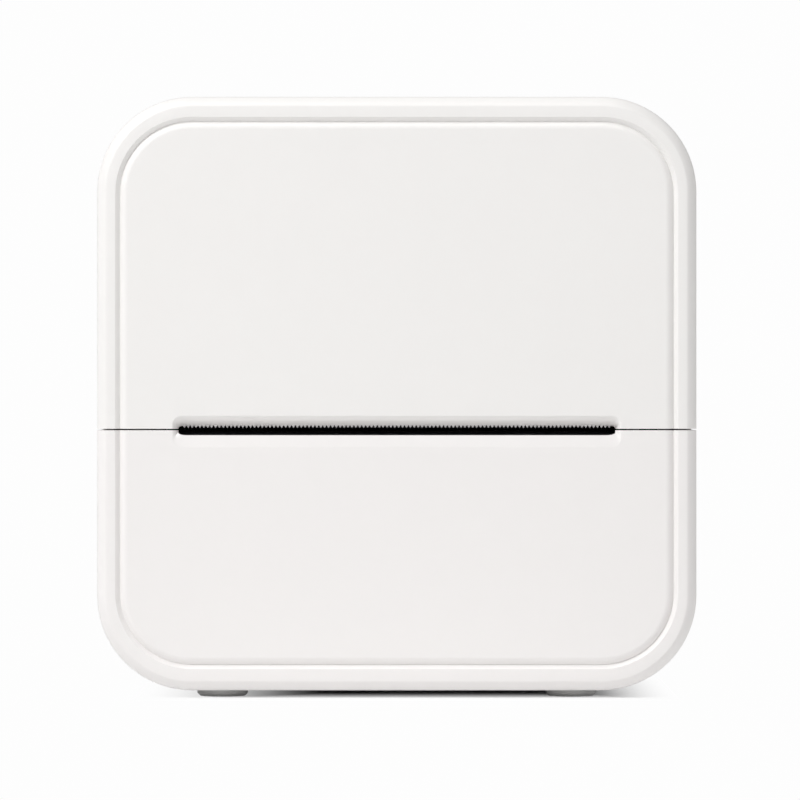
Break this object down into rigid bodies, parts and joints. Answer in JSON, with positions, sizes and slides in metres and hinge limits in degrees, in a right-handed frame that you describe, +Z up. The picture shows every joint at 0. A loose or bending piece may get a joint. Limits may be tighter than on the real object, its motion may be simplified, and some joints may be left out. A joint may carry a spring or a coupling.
{
  "type": "portable receipt printer",
  "caption": "Small white thermal receipt printer with a hinged front cover, a toothed paper slot, a platen and print head, and a side button and charging port.",
  "frame": {"origin": "centre of the underside of the four feet, in the middle of the width and depth", "axes": "+X to the right seen from the front, +Y towards the back, +Z up; the paper slot is in the front face at -Y"},
  "size_m": [0.082, 0.04, 0.0822],
  "materials": {
    "white_shell": "satin",
    "white_trim": "satin",
    "black_plastic": "matte",
    "gear_plastic": "satin",
    "bush_plastic": "satin",
    "rubber_feet": "matte",
    "platen_rubber": "matte",
    "steel_sheet": "satin",
    "steel_parts": "polished",
    "head_aluminium": "satin",
    "head_glaze": "gloss",
    "board_green": "gloss",
    "cable_film": "gloss",
    "cell_foil": "satin",
    "foam": "matte",
    "tongue_plastic": "matte",
    "light_pipe": "gloss"
  },
  "bodies": {
    "base": {"rear_housing": "white_shell", "front_lower_cover": "white_shell", "feet": "rubber_feet", "hinge_pins": "steel_parts", "inner_frame": "black_plastic", "mechanism_frame": "steel_sheet", "mechanism_screws": "steel_parts", "head_pin": "steel_parts", "head_springs": "steel_sheet", "motor_can": "steel_sheet", "motor_screws": "steel_parts", "gear_stud": "steel_parts", "gear_clip": "steel_parts", "exit_guide": "black_plastic", "paper_sensor": "black_plastic", "main_board": "board_green", "board_screws": "steel_parts", "board_chips": "black_plastic", "cable_socket": "black_plastic", "head_cable": "cable_film", "battery_cell": "cell_foil", "battery_pad": "foam", "usb_shell": "steel_sheet", "usb_tongue": "tongue_plastic", "status_light": "light_pipe", "power_switch": "black_plastic", "housing_screws": "steel_parts"},
    "lid": {"lid_shell": "white_shell", "platen_bracket": "black_plastic", "bracket_screws": "steel_parts", "tear_bar": "white_trim", "platen_bushes": "bush_plastic"},
    "platen": {"platen_roller": "platen_rubber", "platen_shaft": "steel_parts", "platen_gear": "gear_plastic"},
    "reduction_gear": {"reduction_gear": "gear_plastic"},
    "motor_rotor": {"motor_shaft": "steel_parts", "motor_pinion": "gear_plastic"},
    "print_head": {"head_heat_sink": "head_aluminium", "head_ceramic": "head_glaze", "head_socket": "black_plastic"},
    "power_button": {"power_button": "white_shell"}
  },
  "joints": [
    {"name": "lid_hinge", "type": "hinge", "parent": "base", "child": "lid", "pos_m": [0, -0.006, 0.0792], "axis": [-1, 0, 0], "range_deg": [0, 90]},
    {"name": "platen_spin", "type": "hinge", "parent": "lid", "child": "platen", "pos_m": [0, -0.012, 0.0413], "axis": [1, 0, 0], "continuous": true},
    {"name": "reduction_spin", "type": "hinge", "parent": "base", "child": "reduction_gear", "pos_m": [-0.036, -0.00384, 0.0375], "axis": [1, 0, 0], "continuous": true},
    {"name": "motor_spin", "type": "hinge", "parent": "base", "child": "motor_rotor", "pos_m": [-0.036, 0.00246, 0.02613], "axis": [1, 0, 0], "continuous": true},
    {"name": "head_pivot", "type": "hinge", "parent": "base", "child": "print_head", "pos_m": [0, -0.0045, 0.0315], "axis": [1, 0, 0], "range_deg": [0, 2.5], "stiffness_Nm_per_rad": 0.05, "springref_deg": -11.46, "deforming": ["head_springs"]},
    {"name": "button_press", "type": "slide", "parent": "base", "child": "power_button", "axis": [-1, 0, 0], "range_m": [0, 0.0004], "stiffness_N_per_m": 400, "springref_m": -0.0005}
  ],
  "couplings": [
    {"joint": "reduction_spin", "follows": "platen_spin", "ratio": -1.25},
    {"joint": "motor_spin", "follows": "platen_spin", "ratio": 4.1667}
  ]
}
